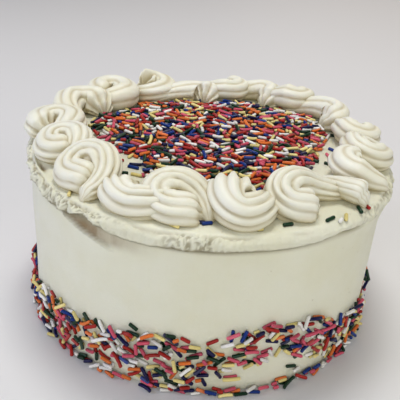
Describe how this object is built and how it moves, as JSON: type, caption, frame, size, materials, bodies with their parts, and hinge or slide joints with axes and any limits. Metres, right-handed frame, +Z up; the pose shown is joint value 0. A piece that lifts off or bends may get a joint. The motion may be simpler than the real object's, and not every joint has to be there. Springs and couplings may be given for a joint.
{
  "type": "iced birthday cake with piped border and sprinkles",
  "caption": "Round birthday cake in white icing, uncut, with an overhanging rim, a piped shell border, a bed of coloured sprinkles and a sprinkled foot.",
  "frame": {"origin": "centre of the flat base that the cake rests on", "axes": "+Z up through the top; -Y faces the viewer of the front; +X is to that viewer's right"},
  "size_m": [0.2234, 0.2227, 0.1203],
  "materials": {
    "icing": "smoothed buttercream, soft satin, off-white, with faint smears and small pits",
    "piped_icing": "piped buttercream, soft satin, creamy white, ridged by a star nozzle",
    "sprinkles": "sugar sprinkles with a low gloss, in rose, red, orange, yellow, white, green, navy and blue"
  },
  "bodies": {
    "root": {"iced_cake": "icing", "shell_01": "piped_icing", "shell_02": "piped_icing", "shell_03": "piped_icing", "shell_04": "piped_icing", "shell_05": "piped_icing", "shell_06": "piped_icing", "shell_07": "piped_icing", "shell_08": "piped_icing", "shell_09": "piped_icing", "shell_10": "piped_icing", "shell_11": "piped_icing", "shell_12": "piped_icing", "shell_13": "piped_icing", "shell_14": "piped_icing", "shell_15": "piped_icing", "shell_16": "piped_icing", "shell_17": "piped_icing", "shell_18": "piped_icing", "shell_19": "piped_icing", "sprinkle_bed": "sprinkles"}
  },
  "joints": []
}
